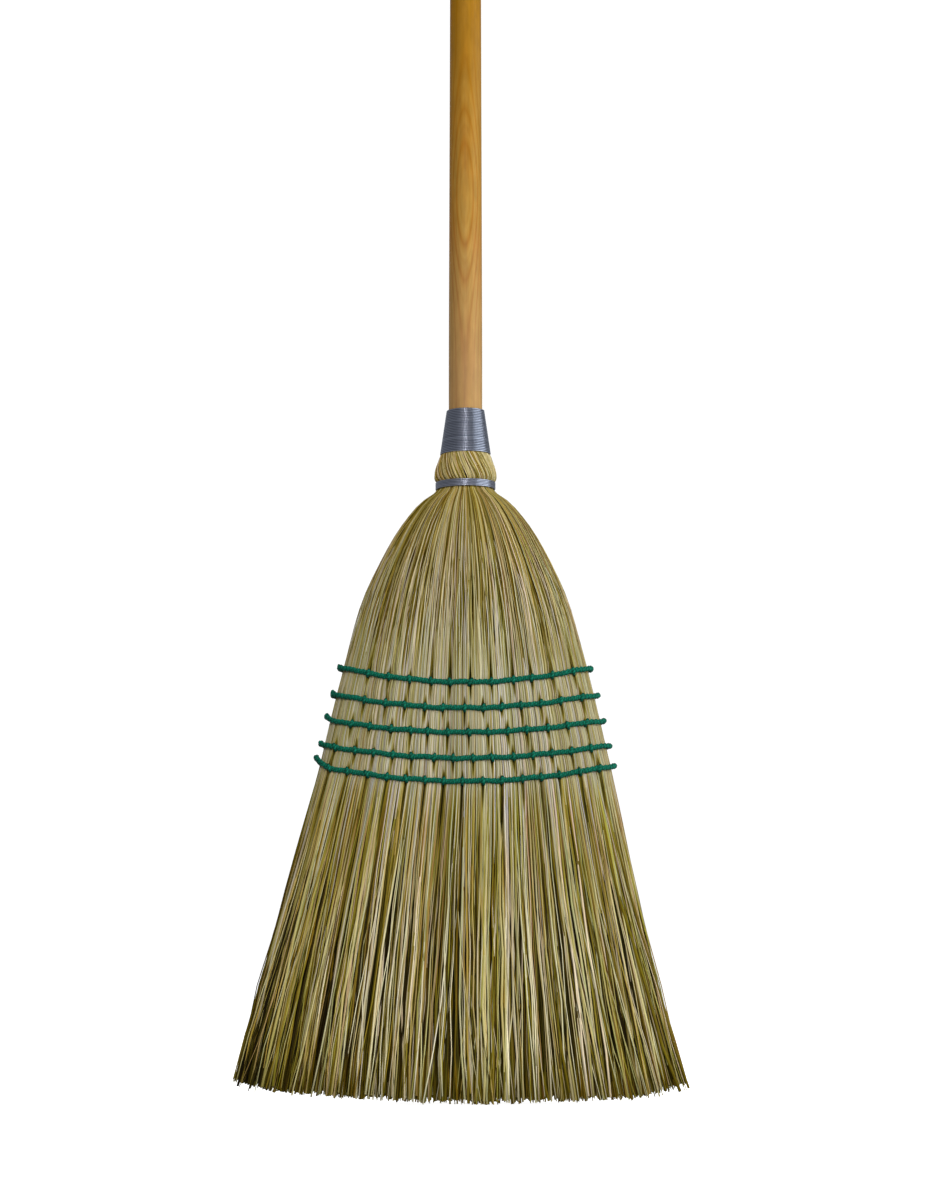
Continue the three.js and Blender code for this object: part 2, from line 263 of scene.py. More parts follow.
class Shader:
    """A Principled material and short ways to add nodes to it."""

    def __init__(self, name, **values):
        self.material = bpy.data.materials.new(name)
        self.material.use_nodes = True
        self.tree = self.material.node_tree
        self.surface = self.tree.nodes["Principled BSDF"]
        for key, value in values.items():
            self.surface.inputs[key.replace("_", " ")].default_value = value

    def add(self, kind, inputs=(), **settings):
        node = self.tree.nodes.new("ShaderNode" + kind)
        for key, value in settings.items():
            setattr(node, key, value)
        for socket, value in dict(inputs).items():
            self.feed(node.inputs[socket], value)
        return node

    def feed(self, socket, value):
        if isinstance(value, bpy.types.NodeSocket):
            self.tree.links.new(value, socket)
        else:
            socket.default_value = value

    def attribute(self, name):
        return self.add("Attribute", attribute_name=name).outputs["Fac"]

    def math(self, operation, first, second=0.0):
        return self.add("Math", {0: first, 1: second}, operation=operation).outputs[0]

    def times(self, first, second):
        return self.math("MULTIPLY", first, second)

    def plus(self, first, second):
        return self.math("ADD", first, second)

    def vector(self, parts, factors=(1.0, 1.0, 1.0)):
        """A vector of three numbers or number sockets, each times its factor."""
        scaled = [part if factor == 1.0 else self.times(part, factor)
                  for part, factor in zip(parts, factors)]
        return self.add("CombineXYZ", enumerate(scaled)).outputs[0]

    def noise(self, vector, scale, detail=2.0, roughness=0.5):
        node = self.add("TexNoise", {"Vector": vector, "Scale": scale, "Detail": detail,
                                     "Roughness": roughness})
        return node.outputs["Fac"]

    def ramp(self, factor, stops):
        """A colour that runs through [position, colour] stops as the factor rises."""
        node = self.add("ValToRGB", {0: factor})
        bands = node.color_ramp
        while len(bands.elements) < len(stops):
            bands.elements.new(0.5)
        for element, (position, colour) in zip(bands.elements, stops):
            element.position = position
            element.color = colour
        return node.outputs[0]

    def span(self, value, from_low, from_high, to_low, to_high):
        """The value carried from one range to another, and held at its ends."""
        node = self.add("MapRange", {0: value, 1: from_low, 2: from_high, 3: to_low, 4: to_high})
        return node.outputs[0]

    def mix(self, factor, first, second, blend="MIX"):
        node = self.add("Mix", data_type="RGBA", blend_type=blend)
        self.feed(node.inputs[0], factor)
        self.feed(node.inputs[6], first)
        self.feed(node.inputs[7], second)
        return node.outputs[2]

    def scale(self, colour, amount):
        """The colour made brighter or darker by a number socket."""
        node = self.add("VectorMath", {0: colour, "Scale": amount}, operation="SCALE")
        return node.outputs[0]

    def bump(self, height, strength, distance):
        node = self.add("Bump", {"Height": height, "Strength": strength, "Distance": distance})
        self.feed(self.surface.inputs["Normal"], node.outputs[0])

    def paint(self, colour, level, roughness):
        """Gives the surface its colour, times a level of light, and its roughness."""
        self.feed(self.surface.inputs["Base Color"], self.scale(colour, level))
        self.feed(self.surface.inputs["Roughness"], roughness)

    def position(self):
        """The point's x, y and height above the floor, in metres."""
        split = self.add("SeparateXYZ", {0: self.add("TexCoord").outputs["Object"]})
        return [split.outputs[i] for i in range(3)]


# Straw colours on screen, and how common each is.
STRAW_COLOURS = [
    ((152, 112, 70), 0.02),
    ((136, 124, 44), 0.12),
    ((158, 150, 58), 0.12),
    ((180, 152, 76), 0.14),
    ((192, 180, 132), 0.22),
    ((168, 168, 118), 0.11),
    ((170, 162, 148), 0.10),
    ((186, 158, 122), 0.12),
    ((206, 200, 172), 0.05),
]
MIDDLING_STRAW = linear(174, 162, 108)
PALE_STRAW = linear(190, 182, 164)
# What a straw's colour is multiplied by where it gets little light.
DARK_TINT = (1.06, 0.90, 0.10, 1)
# Heights in the two tables below are shares of this height, in metres.
GRADED_HEIGHT = 0.5
# How far the straws' colours draw together, which is most where they are sewn.
EVENNESS = [(0.42, 0.0), (0.49, 0.42), (0.62, 0.42), (0.72, 0.12)]
# The cast of the straw's colour: greyer at the twine, browner under the band wire.
TINTS = [
    (0.0, (1.08, 1.02, 0.68)), (0.30, (1.06, 1.02, 0.86)),
    (0.40, (1.08, 1.06, 1.10)), (0.48, (1.27, 1.33, 1.94)),
    (0.62, (1.23, 1.30, 1.86)), (0.66, (1.12, 1.14, 1.34)),
    (0.72, (1.06, 1.04, 1.08)), (0.80, (1.06, 1.00, 0.92)),
    (0.90, (0.86, 0.75, 0.43)), (0.925, (1.04, 0.94, 0.74)),
]
COVER_BRIGHTNESS = 0.92
# The inner straws are painted darker than the cover, as shade deep inside the head.
INNER_SHADED_BRIGHTNESS = 0.62


def straw_material(name, brightness):
    s = Shader(name, Roughness=0.62, Specular_IOR_Level=0.12)
    tone, shade = s.attribute("tone"), s.attribute("shade")
    along, around = s.attribute("along"), s.attribute("around")
    streaks = s.noise(s.vector((tone, around, along), (91.0, 1.6, 0.035)), 3.0, 3.0, 0.6)
    blotches = s.noise(s.vector((tone, 0.0, along), (57.0, 1.0, 0.012)), 2.0)
    shifted = s.plus(tone, s.span(blotches, 0.3, 0.7, -0.07, 0.07))
    last = len(STRAW_COLOURS) - 1
    colour = s.ramp(shifted, [(i / last, linear(*colour))
                              for i, (colour, _) in enumerate(STRAW_COLOURS)])
    height = s.span(s.position()[2], 0.0, GRADED_HEIGHT, 0.0, 1.0)
    evenness = s.ramp(height, [(at, (level, level, level, 1)) for at, level in EVENNESS])
    colour = s.mix(evenness, colour, MIDDLING_STRAW)
    tint = s.ramp(height, [(at, (*cast, 1)) for at, cast in TINTS])
    colour = s.mix(1.0, colour, tint, "MULTIPLY")
    colour = s.mix(s.span(shade, 0.35, 0.95, 1.0, 0.0), colour,
                   s.mix(1.0, colour, DARK_TINT, "MULTIPLY"))
    colour = s.mix(s.span(shade, 1.0, 1.55, 0.0, 0.6), colour, PALE_STRAW)
    streak_light = s.span(streaks, 0.25, 0.75, 0.82 * brightness, 1.2 * brightness)
    edge_light = s.span(s.math("ABSOLUTE", around), 0.15, 0.75, 0.62, 1.08)
    level = s.times(s.times(shade, streak_light), edge_light)
    s.paint(colour, level, s.span(streaks, 0.2, 0.8, 0.5, 0.78))
    s.bump(streaks, 0.35, 0.0002)
    return s.material


# The grain's oval figure on the front of the handle, in metres: where the tree's heart lay
# beside the handle's axis, the figure's height, and how far it runs up and down.
HEART = (-0.0012, -0.034)
FIGURE_HEIGHT = 0.681
FIGURE_REACH = 0.07
FIGURE_RINGS = 6.5
RINGS_PER_METRE = 620.0
RING_WARP = 4.2
RING_START = 0.35
RING_COLOURS = [(0.0, linear(158, 104, 36)), (0.3, linear(169, 122, 50)),
                (0.7, linear(175, 133, 62)), (1.0, linear(171, 126, 55))]
AMBER_STREAK = linear(160, 98, 34)
PALE_STREAK = linear(190, 156, 100)
# Colours mixed in by height: a deeper amber up the handle, and paler just above the wire.
UPPER_AMBER = linear(150, 101, 2)
LOWER_PALE = linear(182, 150, 112)
# How many times finer than a metre each pattern in the wood is, across and up the handle.
WARP_SCALE = (22.0, 22.0, 3.4)
GRAIN_SCALE = (900.0, 900.0, 18.0)
FLECK_SCALE = (260.0, 260.0, 60.0)
AMBER_SCALE = (60.0, 60.0, 9.0)


def wood_material():
    s = Shader("lacquered_wood", Roughness=0.46, Specular_IOR_Level=0.05, Coat_Weight=0.03,
               Coat_Roughness=0.4)
    x, y, z = s.position()
    warp = s.noise(s.vector((x, y, z), WARP_SCALE), 1.0, 2.0, 0.45)
    grain = s.noise(s.vector((x, y, z), GRAIN_SCALE), 1.0, 3.0, 0.6)
    fleck = s.noise(s.vector((x, y, z), FLECK_SCALE), 1.0, 2.0, 0.5)
    amber = s.noise(s.vector((x, y, z), AMBER_SCALE), 1.0, 3.0, 0.6)
    aside, behind = s.math("SUBTRACT", x, HEART[0]), s.math("SUBTRACT", y, HEART[1])
    depth = s.math("SQRT", s.plus(s.times(aside, aside), s.times(behind, behind)))
    rise = s.math("DIVIDE", s.math("SUBTRACT", z, FIGURE_HEIGHT), FIGURE_REACH)
    near = s.math("EXPONENT", s.times(s.times(rise, rise), -1.0))
    figure = s.times(s.math("SUBTRACT", 1.0, near), FIGURE_RINGS)
    rings = s.plus(s.plus(s.times(depth, RINGS_PER_METRE), figure), s.times(warp, RING_WARP))
    colour = s.ramp(s.math("PINGPONG", s.plus(rings, RING_START), 1.0), RING_COLOURS)
    colour = s.mix(s.span(amber, 0.50, 0.70, 0.0, 0.5), colour, AMBER_STREAK)
    colour = s.mix(s.span(amber, 0.46, 0.3, 0.0, 0.5), colour, PALE_STREAK)
    colour = s.mix(s.span(z, 0.64, 0.82, 0.0, 0.85), colour, UPPER_AMBER)
    colour = s.mix(s.span(z, 0.66, 0.54, 0.0, 0.4), colour, LOWER_PALE)
    level = s.times(s.span(grain, 0.25, 0.75, 0.90, 1.06), s.span(fleck, 0.3, 0.7, 0.90, 1.07))
    s.paint(colour, level, s.span(grain, 0.3, 0.7, 0.30, 0.42))
    s.bump(grain, 0.12, 0.0002)
    return s.material


def wire_material():
    s = Shader("galvanised_wire", Metallic=1.0, Roughness=0.25)
    along, around = s.attribute("along"), s.attribute("around")
    drawn = s.noise(s.vector((along, around, 0.0), (0.02, 2.0, 1.0)), 4.0, 3.0, 0.6)
    turns = s.noise(s.vector((0.0, 0.0, s.position()[2])), 420.0, 1.0, 0.4)
    colour = s.ramp(turns, [(0.3, linear(134, 136, 148)), (0.7, linear(168, 170, 184))])
    # Painted shade where each turn meets the next: the wire is darker towards its top and bottom.
    painted_groove_shade = s.math("POWER", s.math("ABSOLUTE", around), 2.0)
    level = s.times(s.span(painted_groove_shade, 0.0, 1.0, 1.1, 0.4), s.span(drawn, 0.2, 0.8, 0.9, 1.1))
    s.paint(colour, level, s.span(drawn, 0.2, 0.8, 0.26, 0.36))
    return s.material


def twine_material():
    s = Shader("green_twine", Roughness=0.65, Specular_IOR_Level=0.18)
    along, around, tone = s.attribute("along"), s.attribute("around"), s.attribute("tone")
    twist = s.plus(s.times(along, 0.55), s.times(around, 0.35))
    lay = s.math("PINGPONG", twist, 0.5)
    fuzz = s.noise(s.vector((along, around, tone), (1.4, 2.0, 1.0)), 2.0, 3.0, 0.7)
    colour = s.ramp(s.plus(s.times(lay, 0.9), s.times(fuzz, 0.5)), [
        (0.15, linear(0, 40, 32)), (0.55, linear(0, 100, 76)), (0.9, linear(4, 150, 120))])
    # The tone sets how light the twine is; on the stitches it carries painted shade toward their
    # ends.
    s.paint(colour, s.span(tone, 0.0, 1.0, 0.35, 1.25), s.span(fuzz, 0.2, 0.8, 0.55, 0.8))
    s.bump(s.plus(lay, s.times(fuzz, 0.4)), 0.6, 0.0004)
    return s.material


WOOD = wood_material()
WIRE_METAL = wire_material()
TWINE_FIBRE = twine_material()
COVER_STRAW = straw_material("cover_straw", COVER_BRIGHTNESS)
INNER_STRAW = straw_material("inner_straw", INNER_SHADED_BRIGHTNESS)

# ---- handle and nail

HANDLE_SIDES = 72
GRIP_RADIUS = 12.6
DOME_HEIGHT = 9
DOME_FLAT = 6


def handle_profile():
    """[radius, height] up the handle: tapered end in the straw, grip, and a domed top."""
    bottom, top = handle_low[2], handle_high[2]
    shaft = smooth_through([
        [bottom, 6.2], [bottom + 2.5, 7.4], [band_low[2], 11.4], [cone_low[2] + 10, 12.4],
        [cone_high[2], GRIP_RADIUS], [cone_high[2] + 60, GRIP_RADIUS],
        [cone_high[2] + 317, 11.9], [top - 260, 11.2], [top - DOME_HEIGHT, 11]])
    heights = np.concatenate([[bottom, bottom + 1, bottom + 2.5],
                              np.linspace(bottom + 12, top - DOME_HEIGHT, 90)])
    profile = [[float(shaft(z)), z] for z in heights]
    edge = float(shaft(top - DOME_HEIGHT)) - DOME_FLAT
    for turn in np.linspace(0, math.pi / 2, 9)[1:]:
        profile.append([DOME_FLAT + edge * math.cos(turn),
                        top - DOME_HEIGHT + DOME_HEIGHT * math.sin(turn)])
    return profile


place(turned_mesh("turned_handle", handle_profile(), HANDLE_SIDES, WOOD), "handle_wood", "handle")

nail_low, nail_high = node_span("wire_end_nail")
NAIL_HEAD_RADIUS = (nail_high[0] - nail_low[0]) / 2
NAIL_HEAD_HEIGHT = 0.8
NAIL_SHANK_RADIUS = 0.8
NAIL_SIDES = 28
NAIL_Z = (nail_high[2] + nail_low[2]) / 2


def nail():
    """A small round-headed nail driven into the back of the handle."""
    tip, top = nail_low[1], nail_high[1]
    under = top - NAIL_HEAD_HEIGHT
    profile = [[0.1, tip], [NAIL_SHANK_RADIUS, tip + 1.6], [NAIL_SHANK_RADIUS, under],
               [NAIL_HEAD_RADIUS - 0.2, under], [NAIL_HEAD_RADIUS, under + 0.2],
               [NAIL_HEAD_RADIUS - 0.3, under + 0.55], [NAIL_HEAD_RADIUS * 0.6, top - 0.06],
               [0.3, top]]
    piece = turned_mesh("domed_nail", profile, NAIL_SIDES, WIRE_METAL)
    for vertex in piece.data.vertices:
        x, y, z = vertex.co
        vertex.co = (x, z, NAIL_Z * MM - y)
    return piece


place(nail(), "binding_wire", "wire_end_nail")

# ---- wire

WIRE_SIDES = 8
CONE_TURNS = 26
BAND_TURNS = 5
STEPS_PER_TURN = 60
BACK = math.pi / 2
# The wire's start is tucked in over this share of a turn, this deep.
TUCK_TURN = 0.12
TUCK_DEPTH = 1.6
LEAD_ANGLE = 0.32
LEAD_POINTS = 12


def coil(bottom, top, bottom_radius, top_radius, turns):
    """Points along a close winding that starts and ends at the back."""
    steps = int(turns * STEPS_PER_TURN)
    share = np.linspace(0, 1, steps)
    angle = BACK + 2 * math.pi * turns * share
    radius = bottom_radius + (top_radius - bottom_radius) * share - WIRE / 2
    z = bottom + WIRE / 2 + (top - bottom - WIRE) * share
    radius = radius - TUCK_DEPTH * smoothstep(TUCK_TURN, 0, share * turns)
    return np.stack([radius * np.cos(angle), radius * np.sin(angle), z], axis=1)


def wire_piece(name, path):
    radii = np.full((1, len(path)), WIRE / 2)
    return tube_mesh(name, path[None], radii, WIRE_SIDES, (0, 0, 1), WIRE_METAL)


def lead_to_nail():
    """The wire's last stretch: off the top turn, in against the handle and up to the nail."""
    start_radius = CONE_TOP_RADIUS - WIRE / 2
    shaft = GRIP_RADIUS + WIRE / 2
    top = cone_high[2] - WIRE / 2
    points = []
    for share in np.linspace(0.1, 1, LEAD_POINTS):
        angle = BACK + LEAD_ANGLE * share
        radius = start_radius + (shaft + 0.5 - start_radius) * share
        z = top + (NAIL_Z - 1.5 - top) * smoothstep(0, 1, share)
        points.append([radius * math.cos(angle), radius * math.sin(angle), z])
    return np.array(points)


winding = coil(cone_low[2], cone_high[2], CONE_BOTTOM_RADIUS, CONE_TOP_RADIUS, CONE_TURNS)
place(wire_piece("winding_wire", np.concatenate([winding, lead_to_nail()])),
      "binding_wire", "neck_wire_winding")
band = coil(band_low[2], band_high[2], BAND_RADIUS, BAND_RADIUS, BAND_TURNS)
place(wire_piece("band_wire", band), "binding_wire", "neck_band_wire")

# ---- stalk collar

rng = np.random.default_rng(STRAW_SEED)
TONES = len(STRAW_COLOURS)
TONE_WEIGHTS = np.array([weight for _, weight in STRAW_COLOURS])


def tones(count):
    """A place on the colour ramp for each straw."""
    kind = rng.choice(TONES, count, p=TONE_WEIGHTS / TONE_WEIGHTS.sum())
    return np.clip((kind + rng.normal(0, 0.18, count)) / (TONES - 1), 0, 1)


COLLAR_SLANT = 0.66
COLLAR_STALKS = 200
COLLAR_STATIONS = 20
COLLAR_SIDES = 6
# Depth of each layer of stalks, and how much light a layer loses for each mm of depth.
COLLAR_LAYERS = [0, 0.4, 1.2]
COLLAR_DEPTH_DIMMING = 0.38
# Steps on the colour ramp that a stalk's colour is drawn from, at the left and at the right.
# The right's paler steps are painted light, and the left's darker ones painted shade.
COLLAR_SHADED_LEFT_TONES = [1, 2, 3, 3, 3, 4, 7]
COLLAR_LIT_RIGHT_TONES = [3, 4, 4, 5, 5, 6, 8]
# The share of stalks that are darkened, and by how much: partly painted shade for the dark lines
# between stalks.
COLLAR_SHADE_STALK_SHARE = 0.24
COLLAR_SHADE_STALK_LIGHT = 0.46


def collar():
    """Stalk ends bent round the neck, slanting down to the right as seen from outside."""
    bottom, top = HEAD_TOP + 1, cone_low[2] + 8
    outside = smooth_through([
        [bottom, BAND_RADIUS - WIRE - 0.4], [band_high[2] - 1, BAND_RADIUS - WIRE - 0.3],
        [band_high[2] + 1.2, BAND_RADIUS + 0.3], [band_high[2] + 4.2, BULGE_RADIUS],
        [band_high[2] + 9.5, BULGE_RADIUS - 0.8], [band_high[2] + 14.5, BULGE_RADIUS - 2.6],
        [cone_low[2] - 0.4, CONE_BOTTOM_RADIUS - 0.3], [cone_low[2] + 2, CONE_BOTTOM_RADIUS - 2.1],
        [top, CONE_BOTTOM_RADIUS - 2.9]])
    stations = COLLAR_STATIONS
    count = COLLAR_STALKS * len(COLLAR_LAYERS)
    z = np.linspace(top, bottom, stations)[None]
    layer = np.repeat(COLLAR_LAYERS, COLLAR_STALKS)[:, None]
    angle = np.tile(np.arange(COLLAR_STALKS), len(COLLAR_LAYERS)) / COLLAR_STALKS * 2 * math.pi
    angle = (angle + rng.normal(0, 0.02, count))[:, None]
    slant = COLLAR_SLANT * rng.normal(1, 0.12, count)[:, None]
    turn = angle + slant * (top - z) / (top - bottom)
    width = rng.uniform(0.22, 0.42, count)[:, None] * np.ones((1, stations))
    lift = rng.uniform(-0.3, 0.2, count)[:, None] * np.ones((1, stations))
    radius = outside(z) - width - layer + lift
    centres = np.stack([radius * np.cos(turn), radius * np.sin(turn),
                        np.broadcast_to(z, (count, stations))], axis=2)
    shade = (1.11 - COLLAR_DEPTH_DIMMING * layer[:, 0]) * rng.uniform(0.82, 1.16, count)
    # Partly painted shade: some stalks are darkened to stand for the shade between stalks.
    shade_stalk = rng.random(count) < COLLAR_SHADE_STALK_SHARE
    shade = np.where(shade_stalk, COLLAR_SHADE_STALK_LIGHT * shade, shade)
    # Painted light and shade: stalks facing right get paler tones, and those facing left darker
    # ones.
    lit_right_share = 0.5 + 0.5 * np.cos(turn[:, stations // 2])
    kind = np.where(rng.random(count) < lit_right_share, rng.choice(COLLAR_LIT_RIGHT_TONES, count),
                    rng.choice(COLLAR_SHADED_LEFT_TONES, count))
    tone = (kind + rng.normal(0, 0.2, count)) / (TONES - 1)
    return tube_mesh("collar_stalks", centres, width, COLLAR_SIDES, (0, 1, 0.02), COVER_STRAW,
                     tone=tone, shade=shade)


place(collar(), "cover_straw", "stalk_collar")
frame["nodes"]["inner_stalk_sleeve"].data.materials[0] = INNER_STRAW
frame["nodes"]["inner_tie_wire"].data.materials[0] = WIRE_METAL

# ---- straw head

STRAW_TOP = HEAD_TOP + 5
# Depths are below the head's surface. On its way down, a straw rises from DEEPEST to its own
# layer over EMERGE_SPAN, or is at the surface from the neck on if that is ALWAYS_OUT. Its top
# goes in under the band wire by BAND_TUCK. Stitches push the layers nearer than PUSHED_LAYERS.
DEEPEST = 8.5
OUTER_LAYERS = [0, 1.3, 2.8]
EMERGE_SPAN = 56
ALWAYS_OUT = 600
BAND_TUCK = 1.9
RADIUS_INSET = 0.95
THINNEST_HALF = 0.6
PUSHED_LAYERS = (8, 3)
# The free tips lean to the left, and deep straws stop short of the outer ones.
LEAN = 5.2
TUCKED_TIPS = 3
# Clumps of free straws drift sideways together, less at the head's sides: each clump's width
# and how far it drifts.
CLUMPS = [(3.6, 2.8), (1.3, 1.8)]
SIDE_HOLD = 0.75
LATENESS = (1.0, 2.4)
# How far the straws bow out of the face: together in a clump, and each on its own.
CLUMP_BOW = 1.2
STRAW_BOW = 1.1
# Each straw's slow waves: their length, and how far they sway while held, free, over the
# shoulder, and out of the face.
WAVE_LENGTH = (70, 190)
HELD_SWAY = 0.12
FREE_SWAY = 1.3
SHOULDER_SWAY = 0.8
FACE_SWAY = 0.25
# How much thinner the straws are where they are sewn and near the neck, and thicker when free.
TAPER = (0.7, 1.05)
SEWN_THINNING = 0.38
NECK_THINNING = 0.14
FREE_THICKENING = 0.12
# Light: straws differ least where they are sewn and near the neck, and most when free.
CALM_LIGHT = 0.96
SEWN_CALM = 0.54
NECK_CALM = 0.35
FREE_CONTRAST = 0.6
TIP_CALM = 0.1
DARKEST = 0.06
TIP_LIGHT = 0.5
TIP_LIFT = 0.7
TIP_LIT_TO = 22
SIDE_DIMMING = 0.22
SKIRT_LEFT_DIMMING = 0.55
SKIRT_TOP_DIMMING = 0.2
OUTERMOST_DIMMED = 0.5
# Where along a straw its points are, counted in rows of twine: 0 at the neck, 1 to 5 at the
# rows, 6 at the tip.
FINE_STATIONS = np.concatenate([
    [0, 0.025, 0.055, 0.09, 0.13, 0.18, 0.23, 0.29, 0.36, 0.43, 0.51, 0.59, 0.68, 0.77,
     0.86, 0.94],
    np.arange(1, 5, 0.25),
    5 + np.array([0, 0.025, 0.06, 0.11, 0.18, 0.28, 0.4, 0.54, 0.7, 0.86, 1])])
COARSE_STATIONS = np.concatenate([
    [0, 0.05, 0.12, 0.22, 0.36, 0.55, 0.8], np.arange(1, 5, 0.5),
    5 + np.array([0, 0.08, 0.25, 0.45, 0.7, 1])])

# Half a slit's width along its length, what its knot adds, and for each row the least and
# most that a slit reaches above and below it. PRESSED_WIDTH is the share of a straw's radius
# that keeps clear of the slit, too.
SLIT = 0.36
KNOT = 0.75
KNOT_REACH = 3
SLIT_ABOVE = [(8, 30), (3, 9), (3, 9), (3, 9), (3, 9)]
SLIT_BELOW = [(9, 19), (9, 19), (9, 19), (9, 17), (25, 90)]
SLIT_SHADOW = 0.92
SLIT_SHADOW_REACH = 0.85
PRESSED_WIDTH = 0.6
# How far the twine draws the straw in, over what height, and the swell between rows.
PULL = 0.7
PULL_REACH = 4.5
BULGE = 0.2


def straw_heights(share, stations, top, tips):
    """Heights of the stations along each straw, which keep in step with the twine rows."""
    rows = [row_height(row, share) for row in ROWS]
    anchors = np.stack([top, *rows, tips], axis=1)
    step = np.minimum(stations.astype(int), len(ROWS))
    part = stations - step
    return anchors[:, step] * (1 - part) + anchors[:, step + 1] * part


def slits(share, z, width):
    """How far each straw is pushed sideways where a stitch parts it from its neighbour, and
    how much light it keeps there."""
    push, light = np.zeros_like(z), np.ones_like(z)
    for index, row in enumerate(ROWS):
        middle = row_height(row, share)
        apart = (share * half_width(middle))[:, None] - STITCHES[index][None]
        nearest = np.abs(apart).argmin(axis=1)
        offset = np.take_along_axis(apart, nearest[:, None], axis=1)
        local = np.random.default_rng(SLIT_SEED + index)
        above = local.uniform(*SLIT_ABOVE[index], len(STITCHES[index]))[nearest]
        below = local.uniform(*SLIT_BELOW[index], len(STITCHES[index]))[nearest]
        gap = z - middle[:, None]
        reach = np.where(gap > 0, above[:, None], below[:, None])
        fade = np.clip(1.5 * (1 - np.abs(gap) / reach), 0, 1)
        clear = SLIT + KNOT * np.exp(-(gap / KNOT_REACH) ** 2) + PRESSED_WIDTH * width[:, None]
        strength = np.sqrt(offset ** 2 + clear ** 2) - np.abs(offset)
        push += strength * np.sign(offset) * fade
        light -= SLIT_SHADOW * np.exp(-(offset / SLIT_SHADOW_REACH) ** 2) * fade ** 0.6
    return push, np.maximum(light, 0)


def sewn(share, z, above, below):
    """1 between the first and last rows of twine, falling to 0 over a height beyond each."""
    top = row_height(ROWS[0], share)[:, None] + above
    bottom = row_height(ROWS[-1], share)[:, None] - below
    return smoothstep(0, above, top - z) * smoothstep(0, below, z - bottom)


def row_pull(share, z):
    """How far the twine draws the straw in at each row, less the swell between rows.
    The sides hardly give, because the twine only turns round them."""
    pull = np.zeros_like(z)
    for row in ROWS:
        gap = z - row_height(row, share)[:, None]
        pull += (PULL + BULGE) * np.exp(-(gap / PULL_REACH) ** 2)
    return (pull - BULGE * sewn(share, z, 12, 14)) * (1 - share[:, None] ** 4)


def clumped(across, size):
    """A random value for each straw that its clump shares. size is a clump's width in mm."""
    clump = np.floor(across * half_width(ROWS[-1]["middle"]) / (2 * size)).astype(int)
    return rng.normal(0, 1, clump.max() - clump.min() + 1)[clump - clump.min()]


def below_twine(share, z):
    """0 down to the last row of twine, rising to 1 at the floor."""
    return np.clip((row_height(ROWS[-1], share)[:, None] - z) / ROWS[-1]["middle"], 0, 1)


def straw_centres(across, side, layer, emerge, width, stations, stray):
    """The centre line of each straw, and how much light the slits leave it."""
    count = len(across)
    share = width_share(across)
    tips = tip_height(share) + tip_lifts(count) + TUCKED_TIPS * (layer > OUTER_LAYERS[-1])
    z = straw_heights(share, stations, np.full(count, STRAW_TOP), tips)
    free = below_twine(share, z)
    depth = layer[:, None]
    rising = smoothstep(0, 1, (z - (emerge[:, None] - EMERGE_SPAN / 2)) / EMERGE_SPAN)
    inset = depth + (DEEPEST - depth) * rising * (depth < DEEPEST)
    inset = inset + BAND_TUCK * smoothstep(HEAD_TOP - 9, HEAD_TOP + 1, z) + row_pull(share, z)
    inset = inset + width[:, None] * RADIUS_INSET
    place_share = np.broadcast_to(share[:, None], z.shape)
    thick = np.maximum(half_thickness(z) - inset, THINNEST_HALF)
    push, slit_light = slits(share, z, width)
    push = push * smoothstep(*PUSHED_LAYERS, layer)[:, None]
    x = place_share * (half_width(z) - inset) + push - LEAN * (1 - (1 - free) ** 2)
    y = side[:, None] * thick * depth_share(place_share, z)
    drift = sum(clumped(across, size) * reach for size, reach in CLUMPS)
    drift = drift * (1 - SIDE_HOLD * share ** 4) + stray
    phase = rng.uniform(0, 2 * math.pi, count)[:, None]
    wave = rng.uniform(*WAVE_LENGTH, count)[:, None]
    over_rows = z - row_height(ROWS[0], share)[:, None]
    shoulder = smoothstep(0, 90, HEAD_TOP - z) * smoothstep(0, 60, over_rows)
    sway = (HELD_SWAY + FREE_SWAY * free) * np.sin(2 * math.pi * z / wave + phase)
    ripple = np.sin(2 * math.pi * z / (wave * 0.9) + 2 * phase)
    sway = sway + SHOULDER_SWAY * shoulder * ripple
    late = rng.uniform(*LATENESS, count)[:, None]
    x = x + drift[:, None] * free ** late + sway
    bow = (clumped(across, CLUMPS[0][0]) * CLUMP_BOW + rng.normal(0, STRAW_BOW, count))[:, None]
    ripple = np.sin(2 * math.pi * z / (wave * 0.8) + 3 * phase)
    y = y + bow * free + FACE_SWAY * (0.3 + free) * ripple
    return np.stack([x, y, z], axis=2), slit_light


def straw_radii(share, z, width):
    """Each straw's radius along it."""
    thin = rng.uniform(*TAPER, len(share))[:, None]
    along = (STRAW_TOP - z) / STRAW_TOP
    radii = width[:, None] * (1 - (1 - thin) * along ** 1.6)
    pressed = sewn(share, z, 400, 34)
    neck = smoothstep(330, 430, z)
    return radii * (1 - SEWN_THINNING * pressed - NECK_THINNING * neck
                    + FREE_THICKENING * below_twine(share, z))


def straw_shades(share, z, layer, light, slit_light):
    """How much light each straw keeps along it, for its own light and where it lies."""
    free = below_twine(share, z)
    contrast = 1 - SEWN_CALM * sewn(share, z, 40, 30) - NECK_CALM * smoothstep(370, 440, z)
    contrast = (contrast + FREE_CONTRAST * smoothstep(0.05, 0.45, free)
                - TIP_CALM * smoothstep(0.6, 0.95, free))
    shade = CALM_LIGHT + (light[:, None] - CALM_LIGHT) * contrast
    shade = np.maximum(shade, DARKEST) * slit_light
    lit_tip = TIP_LIFT * smoothstep(TIP_LIT_TO, 2, z)
    shade = shade + np.maximum(TIP_LIGHT - shade, 0) * lit_tip
    under = np.where(layer > 0, 1, OUTERMOST_DIMMED)
    dimming = SIDE_DIMMING + SKIRT_LEFT_DIMMING * free * ((share < 0) * under)[:, None]
    shade = shade * (1 - dimming * share[:, None] ** 2)
    upper_skirt = smoothstep(0, 0.1, free) * (1 - smoothstep(0.22, 0.6, free))
    return shade * (1 - SKIRT_TOP_DIMMING * upper_skirt)


